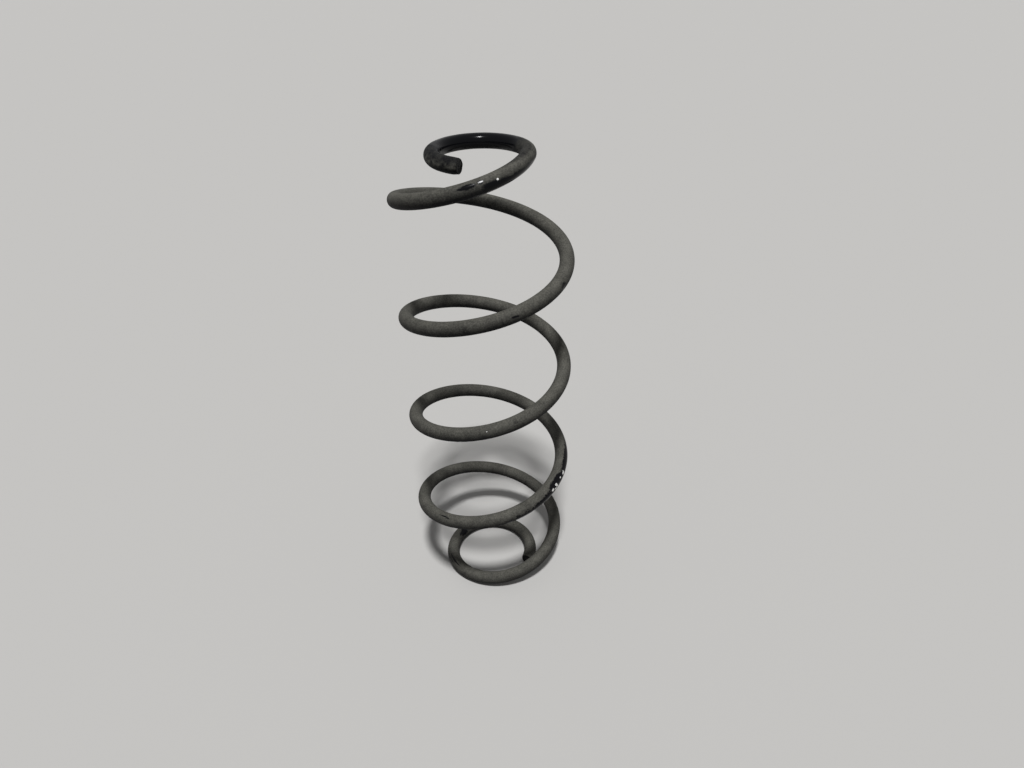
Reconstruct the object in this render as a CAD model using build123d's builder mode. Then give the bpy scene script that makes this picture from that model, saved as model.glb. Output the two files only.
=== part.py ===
from build123d import *
from math import cos, sin, sqrt, radians
import os

# A suspension coil spring, wound right-handed from one length of round bar.
# The wide turns in the middle are evenly pitched and open. At each end the bar draws in to a
# narrower end turn that lies level and is simply cut off: no end is ground flat.
# The coil's axis is Z and the bottom end turn rests on Z = 0. Stretches of the bar are given
# as the angle that they wind round the axis, in degrees.

# The bar
wire_diameter = 12.5
end_chamfer = 1.0                  # the broken edge round each cut end

# Diameters of the turns, measured at the middle of the bar
body_mean_diameter = 138.4
top_end_mean_diameter = 74.4
bottom_end_mean_diameter = 82.0
bottom_end_shift = (-3.0, -6.4)    # how far the bottom end turn lies off the coil's axis

# The rise, from the top end of the bar down
turn_height = 102.7                # that one open turn comes down
top_level_angle = 227.0            # bar that lies level in the top end turn
top_opening_angle = 157.0          # bar over which the turns open up
open_angle = 1305.0                # bar at the full rise
bottom_closing_angle = 155.0       # bar over which the turns close again
bottom_level_angle = 229.0         # bar that lies level in the bottom end turn

# The spread, from each end of the bar inward
top_end_angle = 259.0              # bar at the top end's diameter
top_flare_angle = 181.0            # bar over which the top widens to the body
bottom_end_angle = 257.0           # bar at the bottom end's diameter
bottom_flare_angle = 174.0         # bar over which the bottom widens to the body

# Where the bar begins at the top, anticlockwise from +X as seen from above
top_end_direction = 244.0

# The bar's line is drawn in stretches of about this angle, each a pair of tangent arcs
stretch_angle = 45.0

closing_start = top_level_angle + top_opening_angle + open_angle
bar_angle = closing_start + bottom_closing_angle + bottom_level_angle
narrowing_start = bar_angle - bottom_end_angle - bottom_flare_angle


def eased(share):
    """A share from 0 to 1 that starts and ends gently."""
    held = min(max(share, 0.0), 1.0)
    return held**2 * (3 - 2 * held)


def eased_total(share):
    """The eased share, summed from 0 up to this share."""
    held = min(max(share, 0.0), 1.0)
    return held**3 - held**4 / 2 + max(share - 1.0, 0.0)


def descent(along):
    """How far the bar has come down, at this angle along it from the top end."""
    opened = top_opening_angle * eased_total((along - top_level_angle) / top_opening_angle)
    closed = bottom_closing_angle * eased_total((along - closing_start) / bottom_closing_angle)
    return turn_height / 360 * (opened - closed)


def bar_point(along):
    """The middle of the bar, at this angle along it from the top end."""
    widened = eased((along - top_end_angle) / top_flare_angle)
    narrowed = eased((along - narrowing_start) / bottom_flare_angle)
    mean_diameter = (
        top_end_mean_diameter * (1 - widened)
        + body_mean_diameter * (widened - narrowed)
        + bottom_end_mean_diameter * narrowed
    )
    direction = radians(top_end_direction - along)
    return Vector(
        mean_diameter / 2 * cos(direction) + bottom_end_shift[0] * narrowed,
        mean_diameter / 2 * sin(direction) + bottom_end_shift[1] * narrowed,
        wire_diameter / 2 + descent(bar_angle) - descent(along),
    )


def bar_tangent(along, nudge=0.01):
    """The direction in which the bar runs, at this angle along it from the top end."""
    return (bar_point(along + nudge) - bar_point(along - nudge)).normalized()


def meeting_point(start, start_tangent, end, end_tangent):
    """Where two arcs meet that leave the start and reach the end along these tangents."""
    chord = end - start
    forward = chord.dot(start_tangent + end_tangent)
    turn = 1 - start_tangent.dot(end_tangent)
    reach = (sqrt(forward**2 + 2 * turn * chord.dot(chord)) - forward) / (2 * turn)
    return (start + start_tangent * reach + end - end_tangent * reach) / 2


stretch_count = round(bar_angle / stretch_angle)
stations = [bar_angle * i / stretch_count for i in range(stretch_count + 1)]
points = [bar_point(along) for along in stations]
tangents = [bar_tangent(along) for along in stations]

with BuildPart() as coil_spring:
    with BuildLine():
        for i in range(stretch_count):
            middle = meeting_point(points[i], tangents[i], points[i + 1], tangents[i + 1])
            first_arc = TangentArc(points[i], middle, tangent=tangents[i])
            TangentArc(middle, points[i + 1], tangent=first_arc % 1)
    with BuildSketch(Plane(origin=points[0], z_dir=tangents[0])):
        Circle(wire_diameter / 2)
    sweep()
    cut_ends = coil_spring.faces().filter_by(GeomType.PLANE)
    chamfer(cut_ends.edges(), end_chamfer)

coil_spring.part.label = "coil_spring"
os.makedirs("parts", exist_ok=True)
export_step(coil_spring.part, "parts/coil_spring.step")
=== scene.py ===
from collections import namedtuple
from math import cos, pi, radians, sin

import bpy
import numpy as np
from mathutils import Euler, Matrix, Vector, noise


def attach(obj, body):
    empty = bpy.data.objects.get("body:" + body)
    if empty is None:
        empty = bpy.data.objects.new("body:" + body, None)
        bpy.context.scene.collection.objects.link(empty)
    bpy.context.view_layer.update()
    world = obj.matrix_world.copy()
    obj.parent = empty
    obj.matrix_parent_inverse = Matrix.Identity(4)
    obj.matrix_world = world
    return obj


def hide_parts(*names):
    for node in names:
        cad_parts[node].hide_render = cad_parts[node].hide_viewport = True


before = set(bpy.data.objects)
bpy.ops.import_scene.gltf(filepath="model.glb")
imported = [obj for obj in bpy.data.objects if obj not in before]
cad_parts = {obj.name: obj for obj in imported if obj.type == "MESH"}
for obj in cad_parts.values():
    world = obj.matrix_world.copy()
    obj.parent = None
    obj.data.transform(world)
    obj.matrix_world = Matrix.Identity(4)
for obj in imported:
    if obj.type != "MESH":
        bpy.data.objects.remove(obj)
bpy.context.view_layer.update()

bl_info = {
    "name": "Suspension Coil Spring",
    "version": (1, 0, 0),
    "blender": (4, 5, 0),
    "location": "View3D > Sidebar > Spring",
    "description": "A black painted coil spring with drawn-in end turns, settled dust and rubbed paint",
    "category": "Add Mesh",
}

# The node that the bar stands for
bar_node = "coil_spring"

# How finely the bar is drawn: points round it, the angle along it from ring to ring, plain and
# near a knock, how near that is, and the least gap beside a broken edge; then the rings on a broken
# edge and on a cut face, and the innermost one's share of the face's radius
points_round = 72
ring_step = radians(2.0)
fine_ring_step = radians(0.6)
fine_reach = radians(4)
least_ring_gap = 0.01
edge_rings = 4
face_rings = 9
innermost_ring = 0.04

# A marked place: the angle along the bar and the direction round it where its middle lies, its
# half length along the bar, its half width round it in degrees, how ragged its edge is and how
# soft. Round the bar, 0 degrees faces away from the coil's axis, 90 up and 180 towards the axis.
Mark = namedtuple("Mark", "along around reach width ragged soft")

# Where the dust has been rubbed off and the gloss paint shows
rubbed_places = (
    Mark(130, 142, 0.0400, 104, 0.12, 0.50),
    Mark(180, 142, 0.0256, 104, 0.12, 0.30),
    Mark(34, 158, 0.0230, 40, 0.40, 0.50),
    Mark(302, -34, 0.0370, 44, 0.30, 0.35),
    Mark(320.0, -2, 0.0042, 18, 0.40, 0.50),
    Mark(328.5, 0, 0.0070, 24, 0.35, 0.40),
    Mark(336.6, 41, 0.0024, 14, 0.05, 0.30),
    Mark(345.8, 37, 0.0058, 17, 0.50, 0.40),
    Mark(350.0, 32, 0.0042, 10, 0.35, 0.60),
    Mark(1336, 4, 0.0320, 64, 0.28, 0.14),
    Mark(1359, 26, 0.0130, 52, 0.30, 0.14),
    Mark(1373, -2, 0.0140, 38, 0.80, 0.18),
    Mark(1389, -30, 0.0220, 40, 0.90, 0.18),
)

# Knocks and scratches that have gone through the dust into the paint; the last is partly a painted shade
chipped_and_shaded_places = (
    Mark(639.5, 4, 0.0032, 26, 0.60, 0.30),
    Mark(678, 15, 0.0026, 9, 0.70, 0.30),
    Mark(1455, 64, 0.0050, 5.5, 0.50, 0.30),
    Mark(1451, 55, 0.0026, 4.5, 0.50, 0.30),
    Mark(1850, 8, 0.0074, 8.0, 0.50, 0.30),
    Mark(1842, -6, 0.0056, 7.0, 0.50, 0.30),
    Mark(1840, 59, 0.0082, 7.0, 0.50, 0.30),
    Mark(1847, 35, 0.0060, 5.5, 0.50, 0.30),
    Mark(1809, 138, 0.0030, 14, 0.80, 0.30),
    # Partly flaked paint, partly painted shade: the corner where the end turn runs under the turn above
    # is made black
    Mark(1903, 132, 0.0072, 38, 0.55, 0.25),
)
chip_depth = 0.00022

# Small flecks where the paint is gone and the steel shows. The first, on the uppermost front turn,
# is a painted highlight: a white spot that stands for a glint
fleck_and_glint_places = (
    Mark(323.8, 20, 0.0008, 7, 0.20, 0.50),
    Mark(1349.6, 23, 0.0015, 10, 0.60, 0.30),
    Mark(1348.6, 34, 0.0007, 5, 0.50, 0.30),
    Mark(1354.6, 30, 0.0008, 6, 0.40, 0.30),
    Mark(1361.3, 29, 0.0013, 9, 0.70, 0.25),
    Mark(1361.0, 10, 0.0012, 9, 0.70, 0.25),
    Mark(1363.4, 2, 0.0014, 7, 0.60, 0.30),
    Mark(1366.0, 18, 0.0014, 12, 0.50, 0.30),
    Mark(1057.4, 36, 0.0004, 3, 0.40, 0.60),
)

# A place that a knock has pressed flat
pressed_place = Mark(336.6, 41, 0.0028, 15, 0.0, 0.0)
pressed_depth = 0.00013

# The kinds of unevenness: the length of their features in metres, and a seed that keeps them
# apart. Each is read these shares of its seed away along X, Y and Z, and the spread widens the
# noise to about -1 to 1.
Unevenness = namedtuple("Unevenness", "feature seed")
seed_shares = (1.0, 1.7, 0.6)
noise_spread = 1.6
fine_edge = Unevenness(0.0022, 3.1)
broad_edge = Unevenness(0.007, 8.4)
paint_wave = Unevenness(0.009, 5.5)
end_lumps = Unevenness(0.0035, 9.1)
sheared = Unevenness(0.0025, 12.0)
dust_patches = Unevenness(0.003, 14.2)

# How much of the fine and of the broad kind goes into a ragged edge
edge_share = 0.6

# How far the paint stands up and down, the length of bar that the shears have left lumpy and how
# deep, and how rough they have left the cut faces and how far these slant
paint_wave_depth = 0.00004
lumpy_length = 0.006
lumpy_depth = 0.0006
shear_depth = 0.00022
shear_slant = 0.0004

# The dust that has settled, from 0 to 1: on an upright side, what a side that faces up has more,
# and on the cut faces. Its thinning from the top towards the sides and underside is also a painted
# shade that darkens those sides
upright_dust_and_shade = 0.28
upward_dust_and_shade = 0.55
cut_face_dust = 0.12

# The stretch at the top that an upper seat has kept clean: where it ends and how softly, the
# share of the dust that lies there all the same, and how thick patches of dust lie there too, a
# little all round and far more along the outer side, below the seat's edge
seat_end = radians(217.5)
seat_edge = radians(5)
seat_dust_share = 0.09
seat_patches = 0.0126
outer_side_patches = 0.84
outer_side = radians(8)
outer_side_width = radians(42)

# The part beyond it where the seat has rubbed the upper side, and the share of dust that it took.
# Taking that dust also paints a shade that darkens the upper side of the first turn there
seat_rubbed_and_shaded = Mark(262, 118, 0.0400, 58, 0.0, 0.6)
seat_rub_and_shade_share = 0.68

# The flat layout of the bar's surface: rows one above the other, the margin round them, and in
# metres the gap between them. A row is a hair longer than its share, so the last one holds the end.
layout_rows = 8
layout_margin = 0.004
layout_gap = 0.003
layout_slack = 1.001


class CoilFormSettings(bpy.types.PropertyGroup):
    """How the bar is wound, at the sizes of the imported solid."""

    wire_diameter: bpy.props.FloatProperty(
        name="Bar diameter", description="Thickness of the round bar",
        default=0.0125, unit="LENGTH")
    end_chamfer: bpy.props.FloatProperty(
        name="End edge", description="Width of the broken edge round each cut end",
        default=0.001, unit="LENGTH")
    body_mean_diameter: bpy.props.FloatProperty(
        name="Body diameter", description="Diameter of the open turns at the middle of the bar",
        default=0.1384, unit="LENGTH")
    top_end_mean_diameter: bpy.props.FloatProperty(
        name="Top end diameter", description="Diameter of the top end turn at the middle of the bar",
        default=0.0744, unit="LENGTH")
    bottom_end_mean_diameter: bpy.props.FloatProperty(
        name="Bottom end diameter",
        description="Diameter of the bottom end turn at the middle of the bar",
        default=0.082, unit="LENGTH")
    bottom_end_shift: bpy.props.FloatVectorProperty(
        name="Bottom end shift", description="How far the bottom end turn lies off the coil's axis",
        default=(-0.003, -0.0064), size=2, unit="LENGTH")
    turn_height: bpy.props.FloatProperty(
        name="Turn height", description="How far one open turn comes down",
        default=0.1027, unit="LENGTH")
    top_level_angle: bpy.props.FloatProperty(
        name="Top level bar", description="Bar that lies level in the top end turn",
        default=radians(227), subtype="ANGLE")
    top_opening_angle: bpy.props.FloatProperty(
        name="Top opening bar", description="Bar over which the turns open up",
        default=radians(157), subtype="ANGLE")
    open_angle: bpy.props.FloatProperty(
        name="Open bar", description="Bar at the full rise",
        default=radians(1305), subtype="ANGLE")
    bottom_closing_angle: bpy.props.FloatProperty(
        name="Bottom closing bar", description="Bar over which the turns close again",
        default=radians(155), subtype="ANGLE")
    bottom_level_angle: bpy.props.FloatProperty(
        name="Bottom level bar", description="Bar that lies level in the bottom end turn",
        default=radians(229), subtype="ANGLE")
    top_end_angle: bpy.props.FloatProperty(
        name="Top end bar", description="Bar at the top end turn's diameter",
        default=radians(259), subtype="ANGLE")
    top_flare_angle: bpy.props.FloatProperty(
        name="Top flare bar", description="Bar over which the top widens to the body",
        default=radians(181), subtype="ANGLE")
    bottom_end_angle: bpy.props.FloatProperty(
        name="Bottom end bar", description="Bar at the bottom end turn's diameter",
        default=radians(257), subtype="ANGLE")
    bottom_flare_angle: bpy.props.FloatProperty(
        name="Bottom flare bar", description="Bar over which the bottom widens to the body",
        default=radians(174), subtype="ANGLE")
    top_end_direction: bpy.props.FloatProperty(
        name="Top end direction", description="Where the bar begins at the top, anticlockwise from +X",
        default=radians(244), subtype="ANGLE")


class FinishSettings(bpy.types.PropertyGroup):
    """Paint, dust and bare metal."""

    paint_colour: bpy.props.FloatVectorProperty(
        name="Paint", description="Gloss black paint",
        default=(0.0034, 0.0036, 0.0048), size=3, subtype="COLOR")
    dark_dust_colour: bpy.props.FloatVectorProperty(
        name="Dark dust", description="Darker grains and patches of the dust",
        default=(0.074, 0.0725, 0.0635), size=3, subtype="COLOR")
    pale_dust_colour: bpy.props.FloatVectorProperty(
        name="Pale dust", description="Paler grains and patches of the dust",
        default=(0.163, 0.159, 0.139), size=3, subtype="COLOR")
    # This colour also paints a glint as a white spot, a painted highlight
    fleck_and_glint_colour: bpy.props.FloatVectorProperty(
        name="Flecks", description="Bright steel in the small flecks",
        default=(0.95, 0.95, 0.94), size=3, subtype="COLOR")
    paint_roughness: bpy.props.FloatProperty(
        name="Paint roughness", description="Roughness of the clean paint",
        default=0.16, subtype="FACTOR")
    paint_ior: bpy.props.FloatProperty(
        name="Paint index", description="Refractive index of the paint's surface, which sets its sheen",
        default=1.20)
    dust_roughness: bpy.props.FloatProperty(
        name="Dust roughness", description="Roughness of the dust",
        default=0.88, subtype="FACTOR")
    film_share: bpy.props.FloatProperty(
        name="Film", description="How far a thin film takes the paint towards the dust's roughness",
        default=0.75, subtype="FACTOR")
    bump_distance: bpy.props.FloatProperty(
        name="Bump height", description="Height of the finest unevenness of the paint and the dust",
        default=0.0002, unit="LENGTH")


class StageSettings(bpy.types.PropertyGroup):
    """Floor, light and camera."""

    floor_colour: bpy.props.FloatVectorProperty(
        name="Floor", description="Plain pale floor",
        default=(0.60, 0.592, 0.578), size=3, subtype="COLOR")
    floor_bounce: bpy.props.FloatProperty(
        name="Floor bounce",
        description="Share of the floor's colour that lights the object from below",
        default=0.50, subtype="FACTOR")
    floor_roughness: bpy.props.FloatProperty(
        name="Floor roughness", description="Roughness of the floor",
        default=0.9, subtype="FACTOR")
    floor_sheen: bpy.props.FloatProperty(
        name="Floor sheen", description="How strongly the floor mirrors, where 0.5 is usual",
        default=0.1, subtype="FACTOR")
    floor_size: bpy.props.FloatProperty(
        name="Floor size", description="Side of the square floor",
        default=40.0, unit="LENGTH")
    sky_colour: bpy.props.FloatVectorProperty(
        name="Surround", description="Pale surround that fills the shadows",
        default=(0.585, 0.585, 0.585), size=3, subtype="COLOR")
    sky_light: bpy.props.FloatProperty(
        name="Surround light", description="Share of the surround that lights the object",
        default=0.30, subtype="FACTOR")
    key_light: bpy.props.FloatProperty(
        name="Key light", description="Share of the light that comes from the lamp overhead",
        default=0.80, subtype="FACTOR")
    key_width: bpy.props.FloatProperty(
        name="Key width", description="How wide the lamp overhead looks from the spring",
        default=radians(7), subtype="ANGLE")
    key_lean: bpy.props.FloatProperty(
        name="Key lean", description="How far the light stands off the vertical, towards the camera",
        default=radians(20), subtype="ANGLE")
    key_turn: bpy.props.FloatProperty(
        name="Key turn", description="How far round towards -X the light stands",
        default=radians(2), subtype="ANGLE")
    camera_place: bpy.props.FloatVectorProperty(
        name="Camera place", description="Where the photograph was taken from",
        default=(-0.01767, -0.56114, 0.57502), size=3, unit="LENGTH")
    camera_pitch: bpy.props.FloatProperty(
        name="Camera pitch", description="How far the camera looks down",
        default=radians(32.947), subtype="ANGLE")
    camera_yaw: bpy.props.FloatProperty(
        name="Camera yaw", description="How far the camera turns towards +X",
        default=radians(4.024), subtype="ANGLE")
    camera_roll: bpy.props.FloatProperty(
        name="Camera roll", description="How far the camera is turned about its own view",
        default=radians(0.901), subtype="ANGLE")
    camera_frame: bpy.props.FloatProperty(
        name="Frame width", description="Width of the frame that the focal length is given for",
        default=36.0, unit="CAMERA")
    camera_lens: bpy.props.FloatProperty(
        name="Lens", description="Focal length for a frame of this width",
        default=25.35, unit="CAMERA")
    camera_near: bpy.props.FloatProperty(
        name="Near limit", description="How near to itself the camera starts to see",
        default=0.01, unit="LENGTH")


# The bar's line


def eased(share):
    """A share from 0 to 1 that starts and ends gently."""
    held = np.clip(share, 0.0, 1.0)
    return held**2 * (3 - 2 * held)


def eased_total(share):
    """The eased share, summed from 0 up to this share."""
    held = np.clip(share, 0.0, 1.0)
    return held**3 - held**4 / 2 + np.maximum(share - 1.0, 0.0)


def bar_angle(form):
    """The whole bar, as an angle round the coil."""
    return (form.top_level_angle + form.top_opening_angle + form.open_angle
            + form.bottom_closing_angle + form.bottom_level_angle)


def descent(form, along):
    """How far the bar has come down, at these angles along it from the top end."""
    opening_start = form.top_level_angle
    opening = form.top_opening_angle
    closing_start = opening_start + opening + form.open_angle
    closing = form.bottom_closing_angle
    opened = opening * eased_total((along - opening_start) / opening)
    closed = closing * eased_total((along - closing_start) / closing)
    return form.turn_height / (2 * pi) * (opened - closed)


def bar_points(form, along):
    """The middle of the bar, at these angles along it from the top end."""
    narrowing_start = bar_angle(form) - form.bottom_end_angle - form.bottom_flare_angle
    widened = eased((along - form.top_end_angle) / form.top_flare_angle)
    narrowed = eased((along - narrowing_start) / form.bottom_flare_angle)
    mean_radius = (form.top_end_mean_diameter * (1 - widened)
                   + form.body_mean_diameter * (widened - narrowed)
                   + form.bottom_end_mean_diameter * narrowed) / 2
    direction = form.top_end_direction - along
    whole = np.float64(bar_angle(form))
    return np.stack([
        mean_radius * np.cos(direction) + form.bottom_end_shift[0] * narrowed,
        mean_radius * np.sin(direction) + form.bottom_end_shift[1] * narrowed,
        form.wire_diameter / 2 + descent(form, whole) - descent(form, along),
    ], axis=-1)


def unit(vectors):
    """These vectors, each made one long."""
    return vectors / np.linalg.norm(vectors, axis=-1, keepdims=True)


def bar_tangents(form, along, nudge=0.0002):
    """The directions in which the bar runs at these angles."""
    return unit(bar_points(form, along + nudge) - bar_points(form, along - nudge))


def bar_frames(form, along):
    """The bar's own directions at these angles: away from the coil's axis, and up."""
    tangent = bar_tangents(form, along)
    direction = form.top_end_direction - along
    outward = np.stack([np.cos(direction), np.sin(direction), 0 * direction], axis=-1)
    outward = unit(outward - tangent * np.sum(outward * tangent, axis=-1, keepdims=True))
    return outward, np.cross(tangent, outward)


def bar_lengths(form, along, samples=4000):
    """Length of bar from the top end to each of these angles."""
    fine = np.linspace(0.0, bar_angle(form), samples)
    steps = np.linalg.norm(np.diff(bar_points(form, fine), axis=0), axis=1)
    return np.interp(along, fine, np.concatenate([[0.0], np.cumsum(steps)]))


# The bar's surface


def ring_angles(form):
    """Where the rings of points stand along the bar, closer together where it is marked."""
    whole = bar_angle(form)
    marked = [radians(mark.along) for mark in chipped_and_shaded_places + (pressed_place,)]
    angles = [0.0]
    while angles[-1] < whole - ring_step:
        near = min(abs(angles[-1] - middle) for middle in marked) < fine_reach
        angles.append(angles[-1] + (fine_ring_step if near else ring_step))
    return np.array(angles[1:])


def bar_rings(form):
    """Angle along the bar and radius of every ring, from one cut face to the other."""
    whole = bar_angle(form)
    radius = form.wire_diameter / 2
    flat_radius = radius - form.end_chamfer
    top_rate = form.top_end_mean_diameter / 2
    bottom_rate = form.bottom_end_mean_diameter / 2
    face = [(0.0, flat_radius * share) for share in np.linspace(innermost_ring, 1.0, face_rings)]
    edge = []
    for turn in np.linspace(0.0, pi / 2, edge_rings + 1)[1:]:
        edge.append((form.end_chamfer * (1 - cos(turn)), radius - form.end_chamfer * (1 - sin(turn))))
    start = face + [(inset / top_rate, ring_radius) for inset, ring_radius in edge]
    finish = [(whole - inset / bottom_rate, ring_radius) for inset, ring_radius in reversed(edge)]
    finish += [(whole - place, ring_radius) for place, ring_radius in reversed(face)]
    first = start[-1][0] + least_ring_gap
    last = finish[0][0] - least_ring_gap
    middle = [(angle, radius) for angle in ring_angles(form) if first < angle < last]
    return np.array(start + middle + finish)


def mark_distance(form, mark, length, around):
    """How far each point lies from the middle of a marked place, where its edge is at 1."""
    middle = bar_lengths(form, radians(mark.along))
    sideways = (around - radians(mark.around) + pi) % (2 * pi) - pi
    return np.hypot((length - middle) / mark.reach, sideways / radians(mark.width))


def marked_share(form, marks, length, around, wander):
    """How far each point lies inside the marked places, from 0 to 1 and half at their edges."""
    share = np.zeros_like(around)
    for mark in marks:
        distance = mark_distance(form, mark, length, around)
        share = np.maximum(share, eased((1.0 + mark.ragged * wander - distance) / mark.soft + 0.5))
    return share


def wander_field(places, kind):
    """Smooth noise from about -1 to 1 at these places, over features of this kind's length."""
    shift = Vector([kind.seed * share for share in seed_shares])
    values = [noise.noise(Vector(place) / kind.feature + shift) for place in places.reshape(-1, 3)]
    return np.array(values).reshape(places.shape[:-1]) * noise_spread


def patchy_share(places, kind, middle, contrast):
    """Patches from 0 to 1 at these places, above and below this middle."""
    return np.clip(middle + contrast * wander_field(places, kind), 0.0, 1.0)


def sunken_depth(form, length, around, place):
    """How far each point lies below the plain round bar."""
    edges = (wander_field(place, fine_edge) + wander_field(place, broad_edge)) * edge_share
    depth = marked_share(form, chipped_and_shaded_places, length, around, edges) * chip_depth
    depth -= wander_field(place, paint_wave) * paint_wave_depth
    pressed = 1.0 - mark_distance(form, pressed_place, length, around)**2
    depth += np.clip(pressed, 0.0, 1.0) * pressed_depth
    near_end = eased(1.0 - np.minimum(length, length[-1] - length) / lumpy_length)
    lumps = patchy_share(place, end_lumps, middle=0.5, contrast=0.7)
    return depth + near_end * lumps * lumpy_depth


def sheared_inset(form, along, around, place):
    """How far the shears have set each point of a cut face back along the bar."""
    inward = np.where(along < bar_angle(form) / 2, 1.0, -1.0)[:, None, None]
    slanted = shear_slant * (1.0 - np.sin(around))
    inset = wander_field(place, sheared) * shear_depth + shear_depth + slanted
    return bar_tangents(form, along)[:, None, :] * inward * inset[..., None]


def settled_dust_and_shade(form, along, length, around, place, facing_up):
    """How much dust has settled at each point, from 0 to 1, with painted shade in its thinning to the
    sides.
    """
    # Less on the sides and underside than on top: settled dust, and also a painted shade that darkens
    # them
    open_dust_and_shade = np.clip(upright_dust_and_shade + upward_dust_and_shade * facing_up, 0.0, 1.0)
    patches = patchy_share(place, dust_patches, middle=0.32, contrast=0.6)
    outside = eased(1.0 - np.abs(around - outer_side) / outer_side_width)
    seat_dust = seat_dust_share * open_dust_and_shade + patches * (seat_patches + outer_side_patches * outside)
    # Seat wear past the seat, and also a painted shade on that upper side
    rubbed = marked_share(form, [seat_rubbed_and_shaded], length, around, 0.0)
    beyond_seat = eased((along - seat_end) / seat_edge)[:, None]
    return seat_dust + (open_dust_and_shade * (1.0 - seat_rub_and_shade_share * rubbed) - seat_dust) * beyond_seat


def bar_surface(form):
    """Points of the bar ring by ring, with the places and shares that its materials read."""
    rings = bar_rings(form)
    along, radius = rings[:, 0], rings[:, 1]
    underside = -pi / 2
    around = np.linspace(underside, underside + 2 * pi, points_round, endpoint=False)[None, :]
    around = around.repeat(len(along), 0)
    across, upright = np.cos(around), np.sin(around)
    outward, upward = bar_frames(form, along)
    normal = outward[:, None, :] * across[..., None] + upward[:, None, :] * upright[..., None]
    length = bar_lengths(form, along)[:, None].repeat(points_round, 1)
    place = np.stack([length, radius[:, None] * across, radius[:, None] * upright], axis=-1)
    # The first rings and the last ones lie on the cut faces
    number = np.arange(len(along))
    on_face = np.minimum(number, number[::-1]) < face_rings
    depth = sunken_depth(form, length, around, place)
    depth[on_face] = 0.0
    reach = np.minimum(radius[:, None] - depth, form.wire_diameter / 2)
    points = bar_points(form, along)[:, None, :] + normal * reach[..., None]
    points[on_face] += sheared_inset(form, along, around, place)[on_face]
    dust_and_shade = settled_dust_and_shade(form, along, length, around, place, normal[..., 2])
    dust_and_shade[on_face] = cut_face_dust
    return points, place, dust_and_shade, on_face


def bar_faces(ring_count):
    """Quads between rings, and a flat cap that closes each cut face."""
    ring, point = np.meshgrid(np.arange(ring_count - 1), np.arange(points_round), indexing="ij")
    after = (point + 1) % points_round
    quads = np.stack([ring * points_round + point, ring * points_round + after,
                      (ring + 1) * points_round + after, (ring + 1) * points_round + point], axis=-1)
    first_cap = list(range(points_round - 1, -1, -1))
    last_cap = [(ring_count - 1) * points_round + k for k in range(points_round)]
    return quads.reshape(-1, 4).tolist() + [first_cap, last_cap]


def layout_map(mesh, place, ring_count, form):
    """Lays the bar's surface out flat in rows, as the map that its finish is baked through."""
    length = place[:, 0, 0]
    row_length = length[-1] / layout_rows * layout_slack
    girth = pi * form.wire_diameter
    row_height = girth + layout_gap
    scale = (1.0 - 2 * layout_margin) / max(row_length, layout_rows * row_height)
    layer = mesh.uv_layers.new(name="OFBake")
    flat = np.zeros((len(mesh.loops), 2))
    quad_count = (ring_count - 1) * points_round
    ring = np.repeat(np.arange(ring_count - 1), points_round)
    point = np.tile(np.arange(points_round), ring_count - 1)
    row = np.minimum(length[ring] // row_length, layout_rows - 1)
    for corner, (ring_offset, point_offset) in enumerate(((0, 0), (0, 1), (1, 1), (1, 0))):
        across = length[ring + ring_offset] - row * row_length
        upward = (point + point_offset) / points_round * girth + row * row_height
        flat[corner:quad_count * 4:4, 0] = layout_margin + across * scale
        flat[corner:quad_count * 4:4, 1] = layout_margin + upward * scale
    layer.data.foreach_set("uv", flat.astype(np.float32).ravel())


def build_bar(form, finish):
    """The wound bar as one mesh."""
    points, place, dust_and_shade, on_face = bar_surface(form)
    ring_count = len(points)
    mesh = bpy.data.meshes.new("coil_spring_bar")
    mesh.from_pydata(points.reshape(-1, 3).tolist(), [], bar_faces(ring_count))
    mesh.validate()
    attribute = mesh.attributes.new("bar_place", "FLOAT_VECTOR", "POINT")
    attribute.data.foreach_set("vector", place.astype(np.float32).ravel())
    attribute = mesh.attributes.new("dust_and_shade", "FLOAT", "POINT")
    attribute.data.foreach_set("value", dust_and_shade.astype(np.float32).ravel())
    layout_map(mesh, place, ring_count, form)
    mesh.materials.append(painted_bar(form, finish))
    mesh.materials.append(cut_end(finish))
    ring_is_face = on_face[:-1] | on_face[1:]
    face_material = np.concatenate([np.repeat(ring_is_face, points_round), [True, True]])
    mesh.polygons.foreach_set("material_index", face_material.astype(np.int32))
    mesh.polygons.foreach_set("use_smooth", np.ones(len(mesh.polygons), bool))
    mesh.update()
    bar = bpy.data.objects.new("coil_spring_bar", mesh)
    bpy.context.scene.collection.objects.link(bar)
    return bar


# Effects that the materials share


def new_group(name, inputs, outputs):
    """An empty node group with these sockets; each input is a name, a kind and a default."""
    group = bpy.data.node_groups.new(name, "ShaderNodeTree")
    for socket_name, kind, default in inputs:
        socket = group.interface.new_socket(name=socket_name, in_out="INPUT", socket_type=kind)
        if default is not None:
            socket.default_value = default
    for socket_name in outputs:
        group.interface.new_socket(name=socket_name, in_out="OUTPUT", socket_type="NodeSocketFloat")
    return group, group.nodes.new("NodeGroupInput"), group.nodes.new("NodeGroupOutput")


def add_maths(tree, operation, place, first, second=None, third=None, clamp=False):
    """A Math node; each of its values is a number or the output of another node."""
    node = tree.nodes.new("ShaderNodeMath")
    node.operation = operation
    node.use_clamp = clamp
    node.location = place
    for socket, value in zip(node.inputs, (first, second, third)):
        if isinstance(value, (int, float)):
            socket.default_value = value
        elif value is not None:
            tree.links.new(value, socket)
    return node.outputs[0]


def add_noise(tree, place, vector, scale, detail, roughness):
    """A noise texture read at a vector; the scale is features for each metre."""
    node = tree.nodes.new("ShaderNodeTexNoise")
    node.location = place
    node.inputs["Detail"].default_value = detail
    node.inputs["Roughness"].default_value = roughness
    if isinstance(scale, (int, float)):
        node.inputs["Scale"].default_value = scale
    else:
        tree.links.new(scale, node.inputs["Scale"])
    tree.links.new(vector, node.inputs["Vector"])
    return node.outputs[0]


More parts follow.
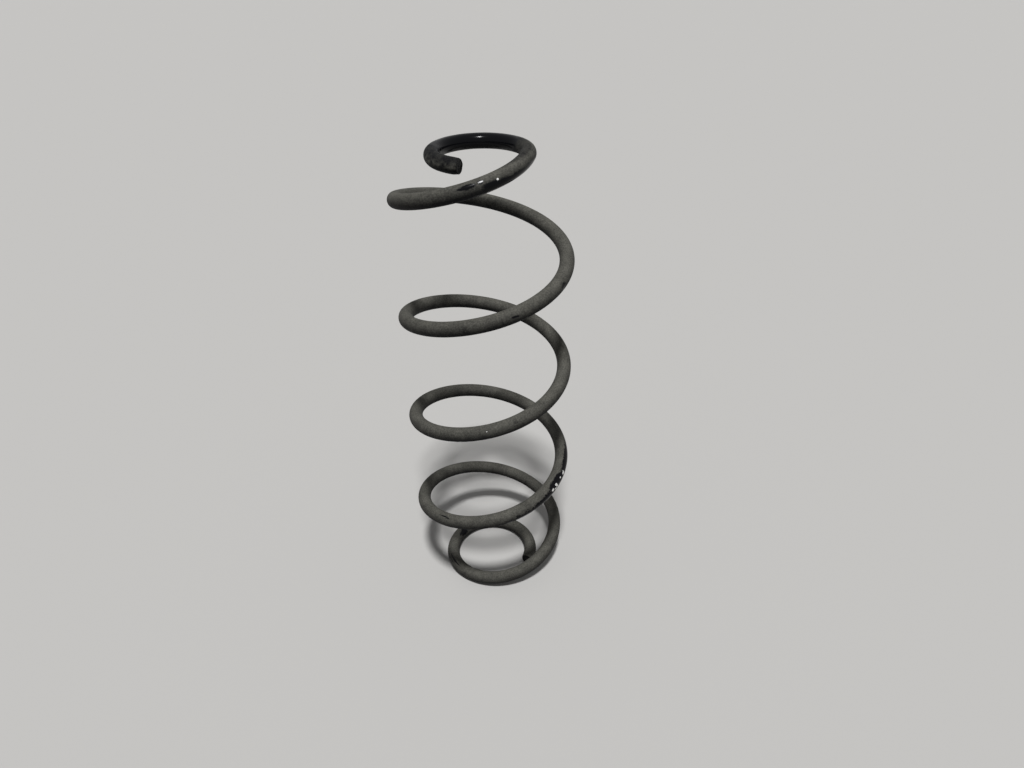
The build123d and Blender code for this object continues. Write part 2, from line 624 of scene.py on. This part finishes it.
def dust_group():
    """Dust that has settled from above: how much of it covers the paint, and how thick it lies."""
    group, given, result = new_group(
        "Settled Dust",
        [("Place", "NodeSocketVector", None), ("Settled", "NodeSocketFloat", 1.0),
         ("Unevenness", "NodeSocketFloat", 0.5), ("Patch Scale", "NodeSocketFloat", 120.0),
         ("Grain Scale", "NodeSocketFloat", 850.0)],
        ["Cover", "Thickness", "Grain"])
    given.location, result.location = (-900, 0), (700, 0)
    place = given.outputs["Place"]
    patches = add_noise(
        group, (-650, 200), place, given.outputs["Patch Scale"], detail=4.0, roughness=0.62)
    grain = add_noise(
        group, (-650, -100), place, given.outputs["Grain Scale"], detail=3.0, roughness=0.6)
    # The two together lie about 1
    both = add_maths(group, "ADD", (-420, 50), patches, grain)
    broken = add_maths(group, "SUBTRACT", (-230, 50), both, 1.0)
    uneven = add_maths(group, "MULTIPLY", (-50, 50), broken, given.outputs["Unevenness"])
    cover = add_maths(group, "ADD", (130, 0), uneven, given.outputs["Settled"], clamp=True)
    thickness = add_maths(group, "MULTIPLY", (330, -150), cover, grain)
    group.links.new(cover, result.inputs["Cover"])
    group.links.new(thickness, result.inputs["Thickness"])
    group.links.new(grain, result.inputs["Grain"])
    return group


def mark_group():
    """One marked place on the bar, as a mask from 0 to 1 that is half at its ragged edge."""
    group, given, result = new_group(
        "Marked Place",
        [("Length", "NodeSocketFloat", 0.0), ("Around", "NodeSocketFloat", 0.0),
         ("Wander", "NodeSocketFloat", 0.0), ("Middle", "NodeSocketFloat", 0.0),
         ("Direction", "NodeSocketFloat", 0.0), ("Reach", "NodeSocketFloat", 0.01),
         ("Width", "NodeSocketFloat", 1.0), ("Ragged", "NodeSocketFloat", 0.3),
         ("Soft", "NodeSocketFloat", 0.3)],
        ["Mask"])
    given.location, result.location = (-1100, 0), (900, 0)
    ahead = add_maths(group, "SUBTRACT", (-850, 200), given.outputs["Length"], given.outputs["Middle"])
    lengthwise = add_maths(group, "DIVIDE", (-650, 200), ahead, given.outputs["Reach"])
    turned = add_maths(group, "SUBTRACT", (-850, 0), given.outputs["Around"], given.outputs["Direction"])
    sideways = add_maths(group, "WRAP", (-650, 0), turned, pi, -pi)
    crosswise = add_maths(group, "DIVIDE", (-450, 0), sideways, given.outputs["Width"])
    first = add_maths(group, "MULTIPLY", (-250, 200), lengthwise, lengthwise)
    both = add_maths(group, "MULTIPLY_ADD", (-250, 0), crosswise, crosswise, first)
    distance = add_maths(group, "SQRT", (-50, 0), both)
    wander, ragged = given.outputs["Wander"], given.outputs["Ragged"]
    edge = add_maths(group, "MULTIPLY_ADD", (-50, -200), wander, ragged, 1.0)
    inside = add_maths(group, "SUBTRACT", (150, 0), edge, distance)
    steep = add_maths(group, "DIVIDE", (350, 0), inside, given.outputs["Soft"])
    mask = add_maths(group, "ADD", (550, 0), steep, 0.5, clamp=True)
    group.links.new(mask, result.inputs["Mask"])
    return group


def skin_group():
    """The fine unevenness of sprayed paint."""
    group, given, result = new_group(
        "Paint Skin",
        [("Place", "NodeSocketVector", None), ("Peel Scale", "NodeSocketFloat", 420.0),
         ("Wave Scale", "NodeSocketFloat", 110.0)],
        ["Height"])
    given.location, result.location = (-600, 0), (300, 0)
    place = given.outputs["Place"]
    peel = add_noise(group, (-350, 100), place, given.outputs["Peel Scale"], detail=2.0, roughness=0.5)
    wave = add_noise(group, (-350, -150), place, given.outputs["Wave Scale"], detail=2.0, roughness=0.5)
    height = add_maths(group, "ADD", (-50, 0), peel, wave)
    group.links.new(height, result.inputs["Height"])
    return group


def streak_group():
    """Fine streaks in patches, along the bar or round it, as the stretch says."""
    group, given, result = new_group(
        "Fine Streaks",
        [("Place", "NodeSocketVector", None), ("Stretch", "NodeSocketVector", None),
         ("Scale", "NodeSocketFloat", 1500.0), ("Patch Scale", "NodeSocketFloat", 70.0),
         ("Amount", "NodeSocketFloat", 0.3), ("Contrast", "NodeSocketFloat", 14.0)],
        ["Mask"])
    given.location, result.location = (-900, 0), (500, 0)
    place = given.outputs["Place"]
    stretch = group.nodes.new("ShaderNodeVectorMath")
    stretch.operation = "MULTIPLY"
    stretch.location = (-650, 0)
    group.links.new(place, stretch.inputs[0])
    group.links.new(given.outputs["Stretch"], stretch.inputs[1])
    lines = add_noise(
        group, (-430, 100), stretch.outputs[0], given.outputs["Scale"], detail=2.0, roughness=0.6)
    patches = add_noise(
        group, (-430, -150), place, given.outputs["Patch Scale"], detail=3.0, roughness=0.6)
    strength = add_maths(group, "MULTIPLY", (-200, 0), lines, patches)
    # The more streaks there are to be, the weaker the noise that already counts as one
    highest_limit, limit_drop = 0.46, -0.2
    limit = add_maths(
        group, "MULTIPLY_ADD", (-200, -200), given.outputs["Amount"], limit_drop, highest_limit)
    above = add_maths(group, "SUBTRACT", (0, 0), strength, limit)
    mask = add_maths(group, "MULTIPLY", (200, 0), above, given.outputs["Contrast"], clamp=True)
    group.links.new(mask, result.inputs["Mask"])
    return group


def place_group(tree, name, build, place):
    """A node for the group of this name, which is built the first time that it is asked for."""
    node = tree.nodes.new("ShaderNodeGroup")
    node.node_tree = bpy.data.node_groups.get(name) or build()
    node.location = place
    return node


def read_attribute(tree, name, place):
    """A node that reads what the mesh holds under this name."""
    node = tree.nodes.new("ShaderNodeAttribute")
    node.attribute_name = name
    node.location = place
    return node


def add_mix(tree, place, share, first, second):
    """A colour mix; the two colours are constants or the outputs of other nodes."""
    node = tree.nodes.new("ShaderNodeMix")
    node.data_type = "RGBA"
    node.location = place
    tree.links.new(share, node.inputs["Factor"])
    # A Mix node has sockets for every kind of value: these two, and the third output, are colours
    for index, colour in ((6, first), (7, second)):
        if isinstance(colour, bpy.types.NodeSocket):
            tree.links.new(colour, node.inputs[index])
        else:
            node.inputs[index].default_value = (*colour, 1.0)
    return node.outputs[2]


def add_bump(tree, shader, height, distance, strength):
    """Bends the light on the surface as if it stood up by this height."""
    bump = tree.nodes.new("ShaderNodeBump")
    bump.location = (350, -200)
    bump.inputs["Strength"].default_value = strength
    bump.inputs["Distance"].default_value = distance
    tree.links.new(height, bump.inputs["Height"])
    tree.links.new(bump.outputs["Normal"], shader.inputs["Normal"])


def new_material(name):
    """A material with its node tree and its Principled shader."""
    material = bpy.data.materials.new(name)
    material.use_nodes = True
    tree = material.node_tree
    shader = tree.nodes["Principled BSDF"]
    shader.location = (700, 100)
    tree.nodes["Material Output"].location = (1000, 100)
    return material, tree, shader


# The finish of the bar


def add_marks(tree, form, marks, length, around, wander, place, spacing=260):
    """The marked places of one kind, as one mask."""
    whole = None
    for index, mark in enumerate(marks):
        left, height = place[0], place[1] - spacing * index
        node = place_group(tree, "Marked Place", mark_group, (left, height))
        for name, value in (("Length", length), ("Around", around), ("Wander", wander)):
            tree.links.new(value, node.inputs[name])
        node.inputs["Middle"].default_value = bar_lengths(form, radians(mark.along))
        node.inputs["Direction"].default_value = radians(mark.around)
        node.inputs["Reach"].default_value = mark.reach
        node.inputs["Width"].default_value = radians(mark.width)
        node.inputs["Ragged"].default_value = mark.ragged
        node.inputs["Soft"].default_value = mark.soft
        mask = node.outputs["Mask"]
        whole = mask if whole is None else add_maths(tree, "MAXIMUM", (left + 220, height), whole, mask)
    return whole


def bar_marks(tree, form, place):
    """Masks of the rubbed, the chipped and the flecked places; one fleck is a painted highlight and one
    chip partly a painted shade.
    """
    split = tree.nodes.new("ShaderNodeSeparateXYZ")
    split.location = (-2100, 100)
    tree.links.new(place, split.inputs[0])
    length = split.outputs["X"]
    around = add_maths(tree, "ARCTAN2", (-1900, 0), split.outputs["Z"], split.outputs["Y"])
    broad = add_noise(tree, (-2100, -200), place, scale=170.0, detail=2.0, roughness=0.5)
    fine = add_noise(tree, (-2100, -450), place, scale=620.0, detail=3.0, roughness=0.6)
    both = add_maths(tree, "ADD", (-1900, -300), broad, fine)
    # The two together lie about 1, and are brought to about 0
    gain = 2.2
    wander = add_maths(tree, "MULTIPLY_ADD", (-1700, -300), both, gain, -gain)
    masks = []
    for marks, height in ((rubbed_places, 900), (chipped_and_shaded_places, -2700), (fleck_and_glint_places, -5500)):
        masks.append(add_marks(tree, form, marks, length, around, wander, (-1450, height)))
    return masks


def dust_tone(tree, finish, place, grain):
    """The dust's colour, darker and paler from patch to patch and from grain to grain."""
    tint = add_noise(tree, (-900, 500), place, scale=60.0, detail=4.0, roughness=0.62)
    patch_contrast, grain_contrast, middle = 1.2, 2.2, -1.15
    patches = add_maths(tree, "MULTIPLY_ADD", (-650, 500), tint, patch_contrast, middle)
    tone = add_maths(tree, "MULTIPLY_ADD", (-470, 500), grain, grain_contrast, patches, clamp=True)
    return add_mix(tree, (-280, 480), tone, finish.dark_dust_colour, finish.pale_dust_colour)


def brushed_off(tree, place):
    """How much of the dust fine scuffs along the bar and wipes round it have taken."""
    scuffs = place_group(tree, "Fine Streaks", streak_group, (-900, -50))
    scuffs.inputs["Stretch"].default_value = (0.06, 1.0, 1.0)
    wipes = place_group(tree, "Fine Streaks", streak_group, (-900, -480))
    wipes.inputs["Stretch"].default_value = (1.0, 0.14, 0.14)
    wipes.inputs["Scale"].default_value = 420.0
    wipes.inputs["Amount"].default_value = 0.6
    for streaks in (scuffs, wipes):
        tree.links.new(place, streaks.inputs["Place"])
    scuff_strength, wipe_strength = 0.30, 0.16
    scuffed = add_maths(tree, "MULTIPLY", (-650, 0), scuffs.outputs["Mask"], scuff_strength)
    return add_maths(tree, "MULTIPLY_ADD", (-650, -200), wipes.outputs["Mask"], wipe_strength, scuffed)


def painted_bar(form, finish):
    """Gloss black paint under settled dust, rubbed, scratched and flecked in places, with painted shade
    and a painted highlight.
    """
    material, tree, shader = new_material("painted_bar")
    place = read_attribute(tree, "bar_place", (-2300, 300)).outputs["Vector"]
    # The dust as the mesh holds it, with its painted shade on the sides and underside
    dust_and_shade = read_attribute(tree, "dust_and_shade", (-2300, 100)).outputs["Fac"]
    rubbed, chipped_and_shaded, flecked_and_glinting = bar_marks(tree, form, place)
    dust = place_group(tree, "Settled Dust", dust_group, (-900, 200))
    dust.inputs["Unevenness"].default_value = 0.42
    tree.links.new(place, dust.inputs["Place"])
    tree.links.new(dust_and_shade, dust.inputs["Settled"])
    skin = place_group(tree, "Paint Skin", skin_group, (-900, -250))
    tree.links.new(place, skin.inputs["Place"])

    # Where the dust still lies, and where the paint hasn't been touched
    taken = brushed_off(tree, place)
    lying = add_maths(tree, "SUBTRACT", (-470, 150), dust.outputs["Cover"], taken, clamp=True)
    unrubbed = add_maths(tree, "SUBTRACT", (-650, 300), 1.0, rubbed)
    unchipped_and_unshaded = add_maths(tree, "SUBTRACT", (-650, -400), 1.0, chipped_and_shaded)
    untouched = add_maths(tree, "MULTIPLY", (-470, -50), unrubbed, unchipped_and_unshaded)
    cover = add_maths(tree, "MULTIPLY", (-280, 100), lying, untouched)

    dust_colour = dust_tone(tree, finish, place, dust.outputs["Grain"])
    painted = add_mix(tree, (-80, 300), cover, finish.paint_colour, dust_colour)
    # Bright steel in the flecks, and in one of them a painted highlight
    colour = add_mix(tree, (150, 300), flecked_and_glinting, painted, finish.fleck_and_glint_colour)
    tree.links.new(colour, shader.inputs["Base Color"])
    tree.links.new(flecked_and_glinting, shader.inputs["Metallic"])

    # Even a little dust dulls the paint, and a film of it lies wherever nothing has rubbed
    dulling_power = 0.45
    dulled = add_maths(tree, "POWER", (-80, 80), cover, dulling_power)
    film = add_maths(tree, "MULTIPLY", (-80, -60), untouched, finish.film_share)
    matt = add_maths(tree, "MAXIMUM", (80, 80), dulled, film)
    rise = finish.dust_roughness - finish.paint_roughness
    roughness = add_maths(tree, "MULTIPLY_ADD", (250, 80), matt, rise, finish.paint_roughness)
    tree.links.new(roughness, shader.inputs["Roughness"])
    shader.inputs["IOR"].default_value = finish.paint_ior

    peel_share = 0.1
    peel = add_maths(tree, "MULTIPLY", (-180, -200), skin.outputs["Height"], peel_share)
    thickness = dust.outputs["Thickness"]
    height = add_maths(tree, "MULTIPLY_ADD", (50, -260), thickness, untouched, peel)
    add_bump(tree, shader, height, finish.bump_distance, strength=0.35)
    return material


def cut_end(finish):
    """The sheared face of the bar, painted over and dull."""
    material, tree, shader = new_material("cut_end")
    place = read_attribute(tree, "bar_place", (-1100, 200)).outputs["Vector"]
    dust_and_shade = read_attribute(tree, "dust_and_shade", (-1100, 0)).outputs["Fac"]
    dust = place_group(tree, "Settled Dust", dust_group, (-800, 150))
    dust.inputs["Unevenness"].default_value = 0.4
    dust.inputs["Grain Scale"].default_value = 1400.0
    tree.links.new(place, dust.inputs["Place"])
    tree.links.new(dust_and_shade, dust.inputs["Settled"])
    skin = place_group(tree, "Paint Skin", skin_group, (-800, -150))
    skin.inputs["Peel Scale"].default_value = 900.0
    tree.links.new(place, skin.inputs["Place"])
    cover = dust.outputs["Cover"]
    colour = add_mix(tree, (-300, 200), cover, finish.paint_colour, finish.dark_dust_colour)
    tree.links.new(colour, shader.inputs["Base Color"])
    dull_paint, dust_rise = 0.5, 0.35
    roughness = add_maths(tree, "MULTIPLY_ADD", (-300, 0), cover, dust_rise, dull_paint)
    tree.links.new(roughness, shader.inputs["Roughness"])
    shader.inputs["IOR"].default_value = finish.paint_ior
    add_bump(tree, shader, skin.outputs["Height"], finish.bump_distance, strength=0.5)
    return material


# The stage


def seen_directly(tree, place):
    """1 for the camera, for reflections and through glass, and 0 for light that bounces."""
    path = tree.nodes.new("ShaderNodeLightPath")
    path.location = place
    seen = add_maths(tree, "ADD", (place[0] + 200, place[1]), path.outputs["Is Camera Ray"],
                     path.outputs["Is Glossy Ray"])
    return add_maths(tree, "ADD", (place[0] + 400, place[1]), seen,
                     path.outputs["Is Transmission Ray"], clamp=True)


def lay_floor(stage):
    """A plain pale floor at the height that the spring stands on."""
    half = stage.floor_size / 2
    corners = [(-half, -half, 0), (half, -half, 0), (half, half, 0), (-half, half, 0)]
    mesh = bpy.data.meshes.new("floor")
    mesh.from_pydata(corners, [], [(0, 1, 2, 3)])
    floor = bpy.data.objects.new("floor", mesh)
    bpy.context.scene.collection.objects.link(floor)
    material, tree, shader = new_material("pale_floor")
    seen = seen_directly(tree, (-700, 0))
    dimmed = [channel * stage.floor_bounce for channel in stage.floor_colour]
    colour = add_mix(tree, (-100, 0), seen, dimmed, tuple(stage.floor_colour))
    tree.links.new(colour, shader.inputs["Base Color"])
    shader.inputs["Roughness"].default_value = stage.floor_roughness
    shader.inputs["Specular IOR Level"].default_value = stage.floor_sheen
    mesh.materials.append(material)


def light_surround(stage):
    """A pale surround that the camera and reflections see whole, and that lights more dimly."""
    world = bpy.data.worlds.new("pale_surround")
    world.use_nodes = True
    bpy.context.scene.world = world
    tree = world.node_tree
    background = tree.nodes["Background"]
    background.inputs["Color"].default_value = (*stage.sky_colour, 1.0)
    seen = seen_directly(tree, (-700, 0))
    rise = 1.0 - stage.sky_light
    strength = add_maths(tree, "MULTIPLY_ADD", (-100, 0), seen, rise, stage.sky_light)
    tree.links.new(strength, background.inputs["Strength"])


def hang_key(stage):
    """One soft lamp far off, nearly overhead, that lights the whole floor alike."""
    light = bpy.data.lights.new("key", "SUN")
    # By itself a lamp of this strength lights a white floor to just white
    full_strength = pi
    light.energy = stage.key_light * full_strength
    light.angle = stage.key_width
    key = bpy.data.objects.new("key", light)
    across = sin(stage.key_lean)
    toward = Vector((-across * sin(stage.key_turn), -across * cos(stage.key_turn), cos(stage.key_lean)))
    key.location = toward
    key.rotation_euler = toward.to_track_quat("Z", "Y").to_euler()
    bpy.context.scene.collection.objects.link(key)


def set_camera(stage):
    """The camera, where the photograph was taken from."""
    data = bpy.data.cameras.new("camera")
    data.sensor_width = stage.camera_frame
    data.lens = stage.camera_lens
    data.clip_start = stage.camera_near
    camera = bpy.data.objects.new("camera", data)
    aim = Euler((pi / 2 - stage.camera_pitch, 0.0, -stage.camera_yaw)).to_matrix()
    turn = Matrix.Rotation(-stage.camera_roll, 3, "Z")
    camera.matrix_world = Matrix.Translation(stage.camera_place) @ (aim @ turn).to_4x4()
    bpy.context.scene.collection.objects.link(camera)
    bpy.context.scene.camera = camera


class SPRING_OT_wind_bar(bpy.types.Operator):
    """Wind the spring's bar and finish its surface"""

    bl_idname = "spring.wind_bar"
    bl_label = "Wind the Spring"

    def execute(self, context):
        bar = build_bar(context.scene.coil_form, context.scene.spring_finish)
        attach(bar, "root")
        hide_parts(bar_node)
        return {"FINISHED"}


class SPRING_OT_set_stage(bpy.types.Operator):
    """Lay the floor, hang the light and place the camera"""

    bl_idname = "spring.set_stage"
    bl_label = "Set the Stage"

    def execute(self, context):
        stage = context.scene.spring_stage
        lay_floor(stage)
        light_surround(stage)
        hang_key(stage)
        set_camera(stage)
        context.scene.view_settings.view_transform = "Standard"
        return {"FINISHED"}


class SPRING_PT_panel(bpy.types.Panel):
    """The spring's steps and settings"""

    bl_idname = "SPRING_PT_panel"
    bl_label = "Suspension Coil Spring"
    bl_space_type = "VIEW_3D"
    bl_region_type = "UI"
    bl_category = "Spring"

    def draw(self, context):
        scene = context.scene
        for settings in (scene.coil_form, scene.spring_finish, scene.spring_stage):
            box = self.layout.box()
            for name in settings.__annotations__:
                box.prop(settings, name)
        self.layout.operator(SPRING_OT_wind_bar.bl_idname)
        self.layout.operator(SPRING_OT_set_stage.bl_idname)


classes = (
    CoilFormSettings,
    FinishSettings,
    StageSettings,
    SPRING_OT_wind_bar,
    SPRING_OT_set_stage,
    SPRING_PT_panel,
)


def register():
    """Makes the settings, the steps and the panel known, and gives the scene its settings."""
    for cls in classes:
        bpy.utils.register_class(cls)
    bpy.types.Scene.coil_form = bpy.props.PointerProperty(type=CoilFormSettings)
    bpy.types.Scene.spring_finish = bpy.props.PointerProperty(type=FinishSettings)
    bpy.types.Scene.spring_stage = bpy.props.PointerProperty(type=StageSettings)


def unregister():
    """Takes them away again."""
    del bpy.types.Scene.spring_stage
    del bpy.types.Scene.spring_finish
    del bpy.types.Scene.coil_form
    for cls in reversed(classes):
        bpy.utils.unregister_class(cls)


def main():
    """Builds the spring and its stage."""
    register()
    bpy.ops.spring.wind_bar()
    bpy.ops.spring.set_stage()


if __name__ == "__main__":
    main()
